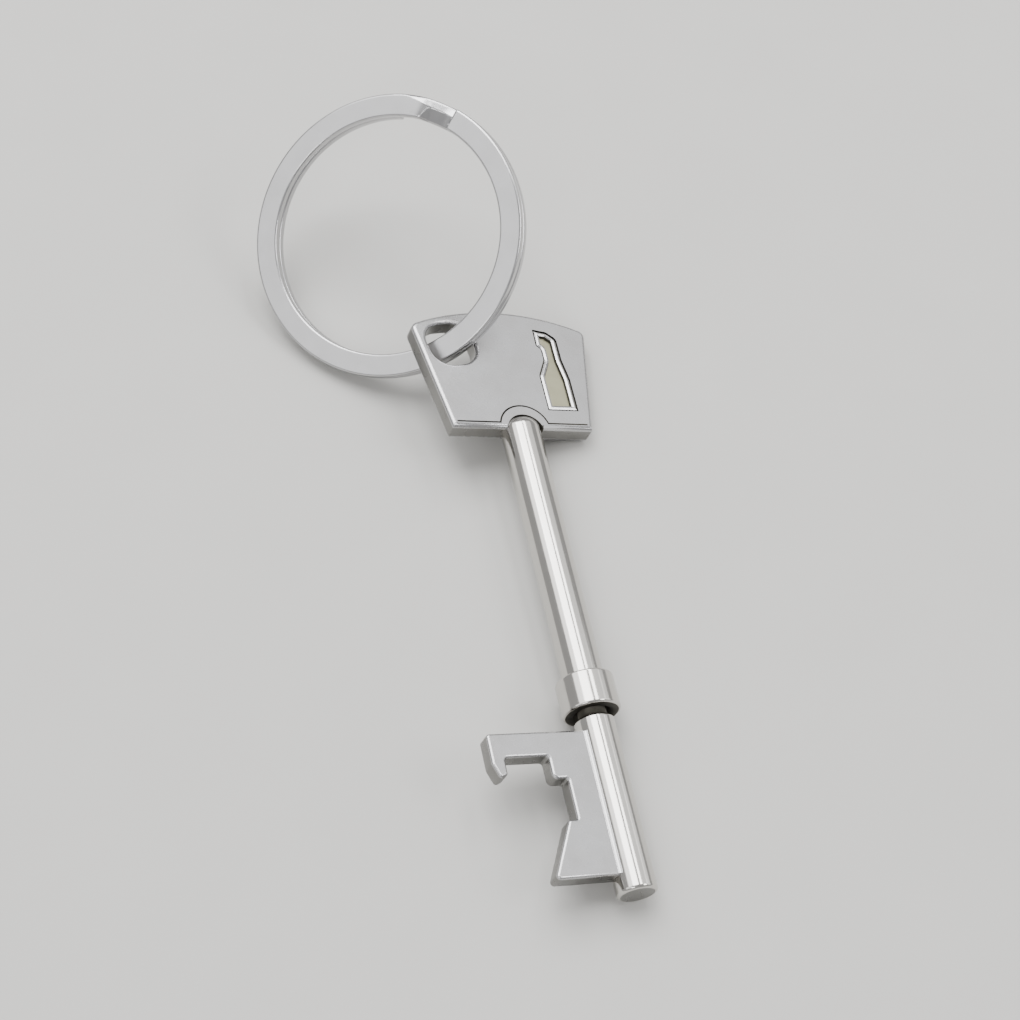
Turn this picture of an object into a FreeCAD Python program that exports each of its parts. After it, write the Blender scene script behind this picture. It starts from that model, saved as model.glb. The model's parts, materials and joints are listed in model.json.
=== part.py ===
"""Key-shaped bottle opener hanging on a flat split ring, lying on a level surface.

Lengths are millimetres. The key is drawn flat in its own frame: x across the bow, y along the
shank towards the bow, z out of the bow's face, with the origin in the middle of the bow's lower
edge. It is then turned to the way it lies, with the ring threaded through the bow's hole. The
finished frame has +Z up and its origin at the bottom centre of the whole object.
"""
import math
import os

import FreeCAD
import Part

# Bow: the flat head that the ring hangs from.
BOW_THICKNESS = 2.2
BOW_FOOT_WIDTH = 15.6
BOW_HEAD_WIDTH = 20.0
BOW_SIDE_HEIGHT = 12.8
BOW_ARCH_RISE = 2.1
BOW_CORNER_RADIUS = 0.9
BEVEL = 0.4

# Hole for the split ring, in the bow's upper corner on the blade's side. Its size follows from
# the wire that passes through it aslant, with a clearance on each side.
RING_CLEARANCE = 0.5
HOLE_SLACK = 0.95
HOLE_CORNER_SHARE = 0.82
HOLE_SIDE_WEB = 1.1
HOLE_TOP_WEB = 1.1
HOLE_BEVEL = 0.4
HOLE_SETTLING_ROUNDS = 8

# Seam scored along the bow's lower edge and round the socket of the shank.
SEAM_OFFSET = 0.55
SEAM_WIDTH = 0.16
SEAM_DEPTH = 0.15
SOCKET_RIM = 0.6
SOCKET_DEPTH = 1.45

# Bottle-shaped recess in the bow's upper face.
BOTTLE_HEIGHT = 10.45
BOTTLE_BODY_WIDTH = 3.5
BOTTLE_BODY_HEIGHT = 4.4
BOTTLE_NECK_WIDTH = 2.15
BOTTLE_NECK_SHIFT = 0.38
BOTTLE_MOUTH_WIDTH = 2.3
BOTTLE_MOUTH_INSET = 0.6
BOTTLE_SHOULDER_RISE = 2.1
BOTTLE_BEND_DROP = 1.1
BOTTLE_SIDE_SHIFT = 4.95
BOTTLE_FOOT_GAP = 2.3
RECESS_DEPTH = 0.35
RECESS_WALL = 0.6
RECESS_LEAST_RADIUS = 0.08

# Shank: one turned rod, stepped for the collar, the groove and the tenon in the barrel.
SHANK_DIAMETER = 4.1
SHANK_LENGTH = 28.4
SHANK_END_ROUND = 1.4
SEAT_STEP = 0.2
COLLAR_DIAMETER = 5.7
COLLAR_LENGTH = 3.55
COLLAR_CHAMFER = 0.35
GROOVE_LENGTH = 0.65
GROOVE_DIAMETER = 3.0
TENON_DIAMETER = 2.3
TENON_LENGTH = 3.4
FIT_CLEARANCE = 0.02
TENON_END_GAP = 0.2

# Barrel and the blade that stands out from it.
BARREL_DIAMETER = 3.9
BARREL_LENGTH = 17.35
BARREL_CHAMFER = 0.3
BLADE_THICKNESS = 2.0
BLADE_BEVEL = 0.25
BLADE_TOP_GAP = 1.35
BLADE_REACH = 9.75
HOOK_WIDTH = 1.35
HOOK_SHOULDER = 3.0
HOOK_LENGTH = 4.45
HOOK_TIP_SHARE = 0.4
HOOK_TIP_SLOPE = 0.35
JAW_DEPTH = 2.45
JAW_WIDTH = 4.35
LIP_WIDTH = 1.45
LIP_DROP = 2.3
NIB_DROP = 4.05
NIB_LENGTH = 0.9
FOOT_DROP = 5.55
FOOT_REACH = 3.55

# Split ring: flat wire wound in two turns that lie on each other.
RING_DIAMETER = 30.0
WIRE_WIDTH = 2.4
TURN_THICKNESS = 0.97
TURN_GAP = 0.06
WIRE_BEVEL = 0.2
UPPER_END_ANGLE = 48.5
RAMP_START_ANGLE = 49.5
RAMP_END_ANGLE = 72.5
LOWER_END_ANGLE = 74.0
RAMP_SECTIONS = 9

# How the key and the ring lie, in degrees.
KEY_YAW = 12.1
KEY_PITCH = 1.5
KEY_ROLL = 17.7
RING_SIDE_TILT = -23.5
RING_FRONT_TILT = 27.5
RING_HOLE_ANGLE = -70.85

# Where the wire's middle crosses the hole, measured from the hole's middle.
WIRE_OFF_SIDE = 0.1
WIRE_OFF_TOP = 0.25


def vec(x, y, z=0.0):
    """Short form for a FreeCAD vector."""
    return FreeCAD.Vector(x, y, z)


def rounded_outline(corners, z):
    """Closed wire through (x, y, radius) corners, each rounded by an arc tangent to its sides."""
    count = len(corners)
    cuts = []
    for index in range(count):
        x, y, radius = corners[index]
        here = vec(x, y, z)
        before = vec(corners[index - 1][0], corners[index - 1][1], z)
        after = vec(corners[(index + 1) % count][0], corners[(index + 1) % count][1], z)
        to_before = (before - here).normalize()
        to_after = (after - here).normalize()
        half_angle = to_before.getAngle(to_after) / 2.0
        setback = radius / math.tan(half_angle)
        bisector = (to_before + to_after).normalize()
        middle = here + bisector * (radius / math.sin(half_angle) - radius)
        cuts.append((here + to_before * setback, middle, here + to_after * setback))
    edges = []
    for index in range(count):
        start, middle, end = cuts[index]
        following = cuts[(index + 1) % count][0]
        if (start - end).Length > 1e-6:
            edges.append(Part.Arc(start, middle, end).toShape())
        if (following - end).Length > 1e-6:
            edges.append(Part.LineSegment(end, following).toShape())
    return Part.Wire(edges)


def plate(wire, thickness):
    """Flat plate of the outline, from the outline's level upwards."""
    return Part.Face(wire).extrude(vec(0, 0, thickness))


def rim_edges(shape, half_thickness, keep):
    """Edges that lie wholly in either flat face of a plate and pass the keep test."""
    found = []
    for edge in shape.Edges:
        box = edge.BoundBox
        flat = abs(box.ZMax - box.ZMin) < 1e-6
        if flat and abs(abs(box.ZMax) - half_thickness) < 1e-6 and keep(edge):
            found.append(edge)
    return found


def rod(diameter, start_y, end_y):
    """Solid cylinder on the shank's axis between two stations."""
    low = min(start_y, end_y)
    return Part.makeCylinder(diameter / 2.0, abs(end_y - start_y), vec(0, low), vec(0, 1, 0))


def stations():
    """Stations along the shank's axis, from the bow towards the tip."""
    collar_top = -SHANK_LENGTH
    collar_foot = collar_top - COLLAR_LENGTH
    barrel_top = collar_foot - GROOVE_LENGTH
    barrel_foot = barrel_top - BARREL_LENGTH
    return collar_top, collar_foot, barrel_top, barrel_foot


def bow_side_x(y):
    """Distance from the shank's axis to the bow's sloping side at height y."""
    spread = (BOW_HEAD_WIDTH - BOW_FOOT_WIDTH) / 2.0
    return BOW_FOOT_WIDTH / 2.0 + spread * y / BOW_SIDE_HEIGHT


def bow_arch_y(x):
    """Height of the bow's arched top above its lower edge at distance x from the axis."""
    half = BOW_HEAD_WIDTH / 2.0
    radius = (half ** 2 + BOW_ARCH_RISE ** 2) / (2.0 * BOW_ARCH_RISE)
    return BOW_SIDE_HEIGHT + BOW_ARCH_RISE - radius + math.sqrt(radius ** 2 - x ** 2)


def key_rotation():
    """Rotation from the key's own frame to the way it lies."""
    yaw = FreeCAD.Rotation(vec(0, 0, 1), KEY_YAW)
    pitch = FreeCAD.Rotation(vec(1, 0, 0), KEY_PITCH)
    roll = FreeCAD.Rotation(vec(0, 1, 0), KEY_ROLL)
    return yaw.multiply(pitch).multiply(roll)


def ring_rotation():
    """Rotation from the ring's own frame to the way it lies."""
    side = FreeCAD.Rotation(vec(0, 1, 0), RING_SIDE_TILT)
    front = FreeCAD.Rotation(vec(1, 0, 0), RING_FRONT_TILT)
    return side.multiply(front)


def hole_size():
    """Width and height that the wire needs where it passes through the bow aslant."""
    turn = math.radians(RING_HOLE_ANGLE)
    spoke = vec(math.cos(turn), math.sin(turn))
    along = vec(-math.sin(turn), math.cos(turn))
    to_key = key_rotation().inverted().multiply(ring_rotation())
    spoke = to_key.multVec(spoke)
    along = to_key.multVec(along)
    normal = to_key.multVec(vec(0, 0, 1))
    wire_height = 2.0 * TURN_THICKNESS + TURN_GAP
    width = abs(spoke.x) * WIRE_WIDTH + abs(normal.x) * wire_height
    height = abs(spoke.y) * WIRE_WIDTH + abs(normal.y) * wire_height
    width += abs(along.x / along.z) * BOW_THICKNESS + 2.0 * RING_CLEARANCE
    height += abs(along.y / along.z) * BOW_THICKNESS + 2.0 * RING_CLEARANCE + HOLE_SLACK
    return width, height


def hole_centre():
    """Middle of the ring hole, set by the webs left beside it and above it."""
    width, height = hole_size()
    y = BOW_SIDE_HEIGHT
    for _ in range(HOLE_SETTLING_ROUNDS):
        x = -(bow_side_x(y) - HOLE_SIDE_WEB - width / 2.0)
        y = bow_arch_y(x) - HOLE_TOP_WEB - height / 2.0
    return vec(x, y)


def bow_blank():
    """Plate of the bow: straight foot, two sloping sides and an arched top."""
    half_foot = BOW_FOOT_WIDTH / 2.0
    half_head = BOW_HEAD_WIDTH / 2.0
    z = -BOW_THICKNESS / 2.0
    foot_left = vec(-half_foot, 0, z)
    foot_right = vec(half_foot, 0, z)
    head_left = vec(-half_head, BOW_SIDE_HEIGHT, z)
    head_right = vec(half_head, BOW_SIDE_HEIGHT, z)
    crown = vec(0, BOW_SIDE_HEIGHT + BOW_ARCH_RISE, z)
    edges = [
        Part.LineSegment(foot_left, foot_right).toShape(),
        Part.LineSegment(foot_right, head_right).toShape(),
        Part.Arc(head_right, crown, head_left).toShape(),
        Part.LineSegment(head_left, foot_left).toShape(),
    ]
    blank = plate(Part.Wire(edges), BOW_THICKNESS)
    uprights = []
    for edge in blank.Edges:
        box = edge.BoundBox
        if box.ZLength > BOW_THICKNESS / 2.0 and box.Center.y > BOW_SIDE_HEIGHT / 2.0:
            uprights.append(edge)
    return blank.makeFillet(BOW_CORNER_RADIUS, uprights)


def ring_hole():
    """Cutter for the rounded hole, leaning with the bow's side."""
    width, height = hole_size()
    radius = HOLE_CORNER_SHARE * width / 2.0
    corners = []
    for side_x, side_y in ((-1, -1), (1, -1), (1, 1), (-1, 1)):
        corners.append((side_x * width / 2.0, side_y * height / 2.0, radius))
    cutter = plate(rounded_outline(corners, -BOW_THICKNESS), 2.0 * BOW_THICKNESS)
    lean = math.degrees(math.atan2(BOW_HEAD_WIDTH - BOW_FOOT_WIDTH, 2.0 * BOW_SIDE_HEIGHT))
    cutter.rotate(vec(0, 0), vec(0, 0, 1), lean)
    cutter.translate(hole_centre())
    return cutter


def seam_band(inset, socket_radius):
    """Face-high block under the seam line: a strip along the foot and a disc at the socket."""
    reach = BOW_HEAD_WIDTH
    strip = Part.makeBox(2.0 * reach, reach, BOW_THICKNESS, vec(-reach, inset - reach))
    disc = Part.makeCylinder(socket_radius, BOW_THICKNESS, vec(0, 0))
    return strip.fuse(disc)


def seam_cutter():
    """Thin channel that the seam leaves in the bow's upper face."""
    socket_radius = SHANK_DIAMETER / 2.0 + SOCKET_RIM
    outer = seam_band(SEAM_OFFSET + SEAM_WIDTH, socket_radius + SEAM_WIDTH)
    inner = seam_band(SEAM_OFFSET, socket_radius)
    channel = outer.cut(inner)
    channel.translate(vec(0, 0, BOW_THICKNESS / 2.0 - SEAM_DEPTH))
    return channel


def bottle_corners():
    """Corners of the bottle outline: a body, and a neck that bends to a mouth at its side."""
    left = BOTTLE_SIDE_SHIFT - BOTTLE_BODY_WIDTH / 2.0
    right = BOTTLE_SIDE_SHIFT + BOTTLE_BODY_WIDTH / 2.0
    foot = BOTTLE_FOOT_GAP
    shoulder = foot + BOTTLE_BODY_HEIGHT
    top = foot + BOTTLE_HEIGHT
    neck_right = right - BOTTLE_NECK_SHIFT
    neck_left = neck_right - BOTTLE_NECK_WIDTH
    mouth_x = left + BOTTLE_MOUTH_INSET
    lip = top - BOTTLE_MOUTH_WIDTH
    return [
        (left, foot, 0.3),
        (right, foot, 0.4),
        (right, shoulder - 0.3, 1.5),
        (neck_right, shoulder + BOTTLE_SHOULDER_RISE, 1.5),
        (neck_right, top - BOTTLE_BEND_DROP, 0.9),
        (mouth_x + 1.5, top - 0.25, 0.6),
        (mouth_x + 0.1, top, 0.12),
        (mouth_x, lip, 0.12),
        (neck_left, lip - 0.25, 0.5),
        (neck_left, shoulder + BOTTLE_SHOULDER_RISE, 0.8),
        (left, shoulder + 0.1, 1.0),
    ]


def inset_corners(corners, inset):
    """Corners of an anticlockwise outline with every side moved inwards by the inset."""
    moved = []
    count = len(corners)
    for index in range(count):
        x, y, radius = corners[index]
        here = vec(x, y)
        side_in = (here - vec(corners[index - 1][0], corners[index - 1][1])).normalize()
        following = corners[(index + 1) % count]
        side_out = (vec(following[0], following[1]) - here).normalize()
        inward = vec(-side_in.y - side_out.y, side_in.x + side_out.x)
        here = here + inward * (inset / (1.0 + side_in.dot(side_out)))
        outer_corner = side_in.cross(side_out).z > 0
        radius = radius - inset if outer_corner else radius + inset
        moved.append((here.x, here.y, max(radius, RECESS_LEAST_RADIUS)))
    return moved


def bottle_recess():
    """Cutter for the bottle-shaped recess with its sloping wall."""
    face_z = BOW_THICKNESS / 2.0
    corners = bottle_corners()
    rim = rounded_outline(corners, face_z)
    floor = rounded_outline(inset_corners(corners, RECESS_WALL), face_z - RECESS_DEPTH)
    return Part.makeLoft([rim, floor], True, True)


def shank_top(slack):
    """Shank above the collar, its end rounded like a thumb's, grown by a slack."""
    shape = rod(SHANK_DIAMETER + 2.0 * slack, SOCKET_DEPTH + slack, -SHANK_LENGTH)
    rim = []
    for edge in shape.Edges:
        if isinstance(edge.Curve, Part.Circle) and edge.BoundBox.YMin > 0:
            rim.append(edge)
    return shape.makeFillet(SHANK_END_ROUND, rim)


def make_bow_plate():
    """Bow with its bevels, ring hole, seam, bottle recess and the socket of the shank."""
    bow = bow_blank()
    half = BOW_THICKNESS / 2.0
    bow = bow.makeChamfer(BEVEL, rim_edges(bow, half, lambda edge: True))
    hole = ring_hole()
    bow = bow.cut(hole)
    rims = rim_edges(bow, half, lambda edge: edge.distToShape(hole)[0] < 1e-6)
    bow = bow.makeChamfer(HOLE_BEVEL, rims)
    bow = bow.cut(shank_top(FIT_CLEARANCE))
    bow = bow.cut(seam_cutter())
    return bow.cut(bottle_recess())


def make_shank_rod():
    """Rod from its socket in the bow to the tenon inside the barrel."""
    collar_top, collar_foot, barrel_top, _ = stations()
    seat_diameter = SHANK_DIAMETER - 2.0 * SEAT_STEP
    shape = shank_top(0.0)
    shape = shape.fuse(rod(seat_diameter, collar_top, collar_foot))
    shape = shape.fuse(rod(GROOVE_DIAMETER, collar_foot, barrel_top))
    return shape.fuse(rod(TENON_DIAMETER, barrel_top, barrel_top - TENON_LENGTH))


def make_collar():
    """Collar pressed up against the shank's shoulder."""
    collar_top, collar_foot, _, _ = stations()
    shape = rod(COLLAR_DIAMETER, collar_top, collar_foot)
    rims = [edge for edge in shape.Edges if isinstance(edge.Curve, Part.Circle)]
    shape = shape.makeChamfer(COLLAR_CHAMFER, rims)
    bore = SHANK_DIAMETER - 2.0 * SEAT_STEP + 2.0 * FIT_CLEARANCE
    return shape.cut(rod(bore, collar_top + 1.0, collar_foot - 1.0))


def make_bit_barrel():
    """Barrel under the groove, bored for the shank's tenon."""
    _, _, barrel_top, barrel_foot = stations()
    shape = rod(BARREL_DIAMETER, barrel_top, barrel_foot)
    rims = [edge for edge in shape.Edges if isinstance(edge.Curve, Part.Circle)]
    shape = shape.makeChamfer(BARREL_CHAMFER, rims)
    bore = TENON_DIAMETER + 2.0 * FIT_CLEARANCE
    bore_foot = barrel_top - TENON_LENGTH - TENON_END_GAP
    return shape.cut(rod(bore, barrel_top + 1.0, bore_foot))


def blade_corners():
    """Corners (x, y, radius) of the blade: hook, jaw, lip, nib and sloping foot."""
    _, _, barrel_top, _ = stations()
    top = barrel_top - BLADE_TOP_GAP
    tip_x = -(BARREL_DIAMETER / 2.0 + BLADE_REACH)
    ceiling = top - JAW_DEPTH
    hook_inner = tip_x + HOOK_WIDTH
    jaw_inner = hook_inner + JAW_WIDTH
    lip_foot = ceiling - LIP_DROP
    recess_x = jaw_inner + LIP_WIDTH
    nib_y = lip_foot - NIB_DROP
    nib_x = recess_x - NIB_LENGTH
    foot_y = nib_y - FOOT_DROP
    foot_x = recess_x - FOOT_REACH
    root_x = -BARREL_DIAMETER / 4.0
    return [
        (root_x, foot_y, 0.0),
        (root_x, top, 0.0),
        (tip_x, top, 0.35),
        (tip_x, top - HOOK_SHOULDER, 0.5),
        (tip_x + HOOK_TIP_SHARE * HOOK_WIDTH, top - HOOK_LENGTH, 0.3),
        (hook_inner, top - HOOK_LENGTH + HOOK_TIP_SLOPE, 0.3),
        (hook_inner, ceiling, 0.3),
        (jaw_inner, ceiling, 0.3),
        (jaw_inner, lip_foot, 0.55),
        (recess_x, lip_foot, 0.25),
        (recess_x, nib_y, 0.2),
        (nib_x, nib_y, 0.3),
        (foot_x, foot_y, 0.35),
    ]


def make_bit_blade():
    """Blade whose root is hollowed to seat on the barrel."""
    _, _, barrel_top, barrel_foot = stations()
    half = BLADE_THICKNESS / 2.0
    blank = plate(rounded_outline(blade_corners(), -half), BLADE_THICKNESS)
    root_x = -BARREL_DIAMETER / 4.0
    rims = rim_edges(blank, half, lambda edge: edge.BoundBox.Center.x < root_x - 0.01)
    blank = blank.makeChamfer(BLADE_BEVEL, rims)
    return blank.cut(rod(BARREL_DIAMETER, barrel_top, barrel_foot))


def wire_section(angle, z):
    """Bevelled rectangle of one turn of the ring's wire, standing at an angle round the ring."""
    inner = RING_DIAMETER / 2.0 - WIRE_WIDTH
    outer = RING_DIAMETER / 2.0
    low = z - TURN_THICKNESS / 2.0
    high = z + TURN_THICKNESS / 2.0
    bevel = WIRE_BEVEL
    profile = [
        (inner + bevel, low),
        (outer - bevel, low),
        (outer, low + bevel),
        (outer, high - bevel),
        (outer - bevel, high),
        (inner + bevel, high),
        (inner, high - bevel),
        (inner, low + bevel),
    ]
    turn = math.radians(angle)
    points = [vec(r * math.cos(turn), r * math.sin(turn), level) for r, level in profile]
    return Part.makePolygon(points + points[:1])


def ring_turn(start_angle, sweep, z):
    """Flat turn of wire from a start angle through a sweep, in degrees."""
    section = Part.Face(wire_section(start_angle, z))
    return section.revolve(vec(0, 0), vec(0, 0, 1), sweep)


def make_split_ring():
    """Two turns joined by the ramp where the wire steps from the lower to the upper turn."""
    rise = (TURN_THICKNESS + TURN_GAP) / 2.0
    upper = ring_turn(RAMP_END_ANGLE, 360.0 + UPPER_END_ANGLE - RAMP_END_ANGLE, rise)
    lower = ring_turn(LOWER_END_ANGLE, 360.0 + RAMP_START_ANGLE - LOWER_END_ANGLE, -rise)
    sections = []
    for step in range(RAMP_SECTIONS):
        share = step / (RAMP_SECTIONS - 1.0)
        angle = RAMP_START_ANGLE + share * (RAMP_END_ANGLE - RAMP_START_ANGLE)
        z = -rise * math.cos(math.pi * share)
        sections.append(wire_section(angle, z))
    ramp = Part.makeLoft(sections, True, False)
    return upper.fuse([ramp, lower])


def ring_placement():
    """Placement that threads the ring through the bow's hole."""
    rotation = ring_rotation()
    crossing = hole_centre() + vec(WIRE_OFF_SIDE, WIRE_OFF_TOP)
    crossing = key_rotation().multVec(crossing)
    turn = math.radians(RING_HOLE_ANGLE)
    mean_radius = (RING_DIAMETER - WIRE_WIDTH) / 2.0
    spoke = rotation.multVec(vec(math.cos(turn), math.sin(turn)) * mean_radius)
    return FreeCAD.Placement(crossing - spoke, rotation)


def build():
    """All sub-parts where they lie, with the origin at the bottom centre of the object."""
    key_place = FreeCAD.Placement(vec(0, 0), key_rotation())
    shapes = {
        "bow_plate": (make_bow_plate(), key_place),
        "shank_rod": (make_shank_rod(), key_place),
        "collar": (make_collar(), key_place),
        "bit_barrel": (make_bit_barrel(), key_place),
        "bit_blade": (make_bit_blade(), key_place),
        "split_ring": (make_split_ring(), ring_placement()),
    }
    placed = {}
    for name, (shape, place) in shapes.items():
        shape.Placement = place
        placed[name] = shape
    box = Part.makeCompound(list(placed.values())).BoundBox
    shift = vec(-box.Center.x, -box.Center.y, -box.ZMin)
    for shape in placed.values():
        shape.translate(shift)
    return placed


def main():
    """Write one STEP file for each sub-part."""
    os.makedirs("parts", exist_ok=True)
    for name, shape in build().items():
        shape.exportStep("parts/" + name + ".step")
        box = shape.BoundBox
        print(name, "valid", shape.isValid(), "solids", len(shape.Solids), "volume", shape.Volume)
        print("   z", box.ZMin, box.ZMax, "size", box.XLength, box.YLength, box.ZLength)


main()
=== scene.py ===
"""Key-shaped bottle opener on a split ring: the visible pieces, finishes, floor, lights and camera."""

import json
import logging
import math
from dataclasses import dataclass, field
from enum import Enum, IntEnum
from typing import Iterable, Mapping, Sequence

import bmesh
import bpy
import numpy as np
from mathutils import Matrix, Vector
from mathutils.geometry import tessellate_polygon


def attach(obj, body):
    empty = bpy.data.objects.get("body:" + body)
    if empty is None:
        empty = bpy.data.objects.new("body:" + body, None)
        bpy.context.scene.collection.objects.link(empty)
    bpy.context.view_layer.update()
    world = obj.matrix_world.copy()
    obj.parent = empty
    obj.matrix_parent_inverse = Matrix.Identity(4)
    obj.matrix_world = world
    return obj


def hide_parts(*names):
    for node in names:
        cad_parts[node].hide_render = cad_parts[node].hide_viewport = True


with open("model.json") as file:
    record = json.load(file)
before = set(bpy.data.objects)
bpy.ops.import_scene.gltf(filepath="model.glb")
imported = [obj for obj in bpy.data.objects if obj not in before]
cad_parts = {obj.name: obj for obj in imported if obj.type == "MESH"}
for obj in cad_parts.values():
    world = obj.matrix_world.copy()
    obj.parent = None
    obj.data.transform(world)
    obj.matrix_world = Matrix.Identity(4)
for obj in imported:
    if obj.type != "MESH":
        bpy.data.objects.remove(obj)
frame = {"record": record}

LOG = logging.getLogger("opener")

MM = 0.001                      # one millimetre in metres
MERGE_DISTANCE = 0.0001 * MM    # points nearer than this become one
ARC_POINTS = 49                 # points on the arc of the notch and on those of the seam
FLAT_RING_INSET = 1.08          # inset of the flat ring beside a bevel, as a share of the bevel
ON_ARC = 0.02                   # slack in millimetres for a point that belongs to an arc
ON_PLANE = 0.001                # slack in millimetres for a point that belongs to a flat end

UP = (0.0, 0.0, 1.0)
DOWN = (0.0, 0.0, -1.0)
TO_BOW = (0.0, 1.0, 0.0)
TO_FOOT = (0.0, -1.0, 0.0)


class Slot(Enum):
    """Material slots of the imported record."""

    SATIN = "satin_plate"
    BRIGHT = "bright_plate"
    RING = "ring_wire"


class Body(Enum):
    """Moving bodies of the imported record."""

    KEY = "key"
    RING = "ring"


class Coat(IntEnum):
    """The kind of place a face lies in, which decides its finish."""

    FACE = 0
    RECESS = 1
    # painted shade: the plates' walls and the barrel's end face get a darker grey for the dark reflections
    # they catch
    SIDE = 2
    # painted shade: creases, the seam, the notch's walls, the groove and the collar's lower face get a
    # dull dark brown
    CREASE = 3


# ---- Shapes: outlines, profiles and the surfaces carried along them -------------------------


def unit(rows: np.ndarray) -> np.ndarray:
    """Each row scaled to length one."""
    return rows / np.linalg.norm(rows, axis=-1, keepdims=True)


def round_corners(corners: Sequence[tuple], closed: bool = True, steps: int = 8,
                  lead: float = 0.03) -> np.ndarray:
    """Line through corners, each turned by an arc that is tangent to both its sides.

    The arc of radius r at a corner whose sides open by the angle 2h starts r / tan(h) before the
    corner, and its centre is r / sin(h) along the bisector. A short straight lead each side of an
    arc keeps the long flats flat when the surface is shaded smooth.

    Args:
        corners: (x, y, radius) of each corner, in order.
        closed: whether the last corner joins the first.
        steps: number of chords in each arc.
        lead: length of the straight leads, in the corners' own unit.

    Returns:
        Points as an (n, 2) array.
    """
    table = np.asarray(corners, dtype=float)
    points = []
    count = len(table)
    for index, (x, y, radius) in enumerate(table):
        here = np.array([x, y])
        at_end = not closed and index in (0, count - 1)
        if radius <= 0.0 or at_end:
            points.append(here[None, :])
            continue
        to_before = unit(table[index - 1, :2] - here)
        to_after = unit(table[(index + 1) % count, :2] - here)
        half = math.acos(float(np.clip(to_before @ to_after, -1.0, 1.0))) / 2.0
        setback = radius / math.tan(half)
        centre = here + unit(to_before + to_after) * radius / math.sin(half)
        start = here + to_before * setback - centre
        end = here + to_after * setback - centre
        total = math.pi - 2.0 * half
        share = np.linspace(0.0, 1.0, steps + 1)[:, None]
        arc = (np.sin((1.0 - share) * total) * start + np.sin(share * total) * end) / math.sin(total)
        before = here + to_before * (setback + lead)
        after = here + to_after * (setback + lead)
        points.append(np.vstack([before, centre + arc, after]))
    return np.vstack(points)


def inset_loop(loop: np.ndarray, distance: float | np.ndarray) -> np.ndarray:
    """Closed loop moved to its left by a distance, along the mitre of the two sides at each point.

    The mitre is the sum of the two sides' left normals over one plus their dot product.

    Args:
        loop: (n, 2) points. Material lies on the left: outlines run anticlockwise, holes clockwise.
        distance: how far to move, in all or as an (n, 1) column.

    Returns:
        The moved (n, 2) points.
    """
    before = unit(loop - np.roll(loop, 1, axis=0))
    after = unit(np.roll(loop, -1, axis=0) - loop)
    left_before = np.stack([-before[:, 1], before[:, 0]], axis=1)
    left_after = np.stack([-after[:, 1], after[:, 0]], axis=1)
    dot = np.sum(left_before * left_after, axis=1, keepdims=True)
    return loop + distance * (left_before + left_after) / (1.0 + dot)


def edge_profile(half: float, bevel: float, steps: int = 7) -> np.ndarray:
    """Profile of a plate's wall with a rounded bevel at each face, from the lower face upwards.

    The bevel is a quarter circle: inset = bevel (1 - sin t), height = half - bevel (1 - cos t). A
    narrow flat ring inside it keeps the face beside it flat when the wall is shaded smooth.

    Args:
        half: half the plate's thickness.
        bevel: the bevel's radius.
        steps: number of chords in each bevel.

    Returns:
        (n, 2) rows of inset and height.
    """
    turn = np.linspace(0.0, math.pi / 2.0, steps + 1)
    inset = np.concatenate([[bevel * FLAT_RING_INSET], bevel * (1.0 - np.sin(turn))])
    height = np.concatenate([[half], half - bevel * (1.0 - np.cos(turn))])
    upper = np.stack([inset, height], axis=1)
    lower = upper * np.array([1.0, -1.0])
    return np.vstack([lower, upper[::-1]])


def wall_coats(profile: np.ndarray) -> np.ndarray:
    """Coat of each band of an edge profile, as a column: the side's painted shade for the tallest band."""
    rise = np.diff(profile[:, 1])
    return np.where(rise == rise.max(), Coat.SIDE, Coat.FACE)[:, None]


def carry(loop: np.ndarray, profile: np.ndarray, share: float | np.ndarray = 1.0) -> np.ndarray:
    """Profile carried along a loop: each row is the loop moved in by an inset, at a height.

    Args:
        loop: (n, 2) points of the closed loop.
        profile: (m, 2) rows of inset and height.
        share: share of each inset that the loop's points take, in all or as an (n, 1) column.

    Returns:
        (m, n, 3) points.
    """
    return np.array([np.column_stack([inset_loop(loop, inset * share), np.full(len(loop), height)])
                     for inset, height in profile])


@dataclass(frozen=True)
class Place:
    """Where a shape's own frame lies: its origin in metres and its three axes as columns."""

    origin: np.ndarray
    axes: np.ndarray

    def put(self, points: np.ndarray) -> np.ndarray:
        """Points in millimetres of the shape's frame, as metres of the shared frame."""
        return self.origin + points @ self.axes.T * MM


def mount(name: str) -> tuple[np.ndarray, np.ndarray]:
    """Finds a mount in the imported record.

    Args:
        name: the mount's name.

    Returns:
        Its position in metres and its unit axis.
    """
    for entry in frame["record"]["mounts"]:
        if entry["name"] == name:
            return np.array(entry["pos_m"]), unit(np.array(entry["axis"]))
    raise KeyError(name)


def add_object(name: str, data: bpy.types.ID) -> bpy.types.Object:
    """New object with its data, linked into the scene."""
    new = bpy.data.objects.new(name, data)
    bpy.context.scene.collection.objects.link(new)
    return new


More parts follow.
